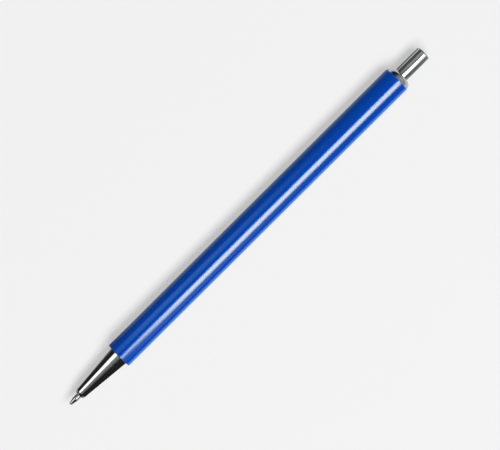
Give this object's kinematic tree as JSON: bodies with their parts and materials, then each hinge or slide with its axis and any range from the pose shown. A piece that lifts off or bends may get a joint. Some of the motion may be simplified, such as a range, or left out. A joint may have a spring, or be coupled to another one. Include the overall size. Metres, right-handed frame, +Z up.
{
  "type": "retractable ballpoint pen",
  "caption": "Slim click pen: a plain tubular blue barrel, chrome push button, tail ring and nose cone, with its cam mechanism, spring and refill inside, and the point out.",
  "frame": {"origin": "on the surface that the pen lies on, under the middle of its length with the point out", "axes": "+X along the pen towards the writing point, +Z up, +Y to the left of the point"},
  "size_m": [0.1378, 0.008, 0.008],
  "materials": {
    "barrel_lacquer": "gloss",
    "chrome": "polished",
    "brass": "satin",
    "white_plastic": "satin",
    "grey_plastic": "satin",
    "red_plastic": "satin",
    "clear_plastic": "gloss",
    "ink": "gloss",
    "nickel_silver": "polished",
    "carbide": "polished",
    "spring_steel": "satin"
  },
  "bodies": {
    "housing": {"barrel": "barrel_lacquer", "tail_ring": "chrome", "cam_sleeve": "white_plastic", "front_bush": "brass", "nose_cone": "chrome"},
    "button": {"push_button": "chrome", "plunger": "grey_plastic"},
    "refill": {"refill_tube": "clear_plastic", "ink_column": "ink", "refill_end_plug": "white_plastic", "point_holder": "white_plastic", "writing_point": "nickel_silver", "return_spring": "spring_steel"},
    "rotor": {"cam_rotor": "red_plastic"},
    "ball": {"writing_ball": "carbide"}
  },
  "joints": [
    {"name": "button_slide", "type": "slide", "parent": "housing", "child": "button", "axis": [-1, 0, 0], "range_m": [-0.0012, 0.0055], "stiffness_N_per_m": 200, "springref_m": 0.0105},
    {"name": "refill_slide", "type": "slide", "parent": "housing", "child": "refill", "axis": [-1, 0, 0], "range_m": [-0.0012, 0.0055], "deforming": ["return_spring"]},
    {"name": "rotor_turn", "type": "hinge", "parent": "refill", "child": "rotor", "pos_m": [-0.04095, 0, 0.004], "axis": [1, 0, 0], "continuous": true},
    {"name": "ball_roll", "type": "hinge", "parent": "refill", "child": "ball", "pos_m": [0.0686, 0, 0.004], "axis": [0, 1, 0], "continuous": true}
  ],
  "couplings": [
    {"joint": "refill_slide", "follows": "button_slide", "ratio": 1}
  ]
}
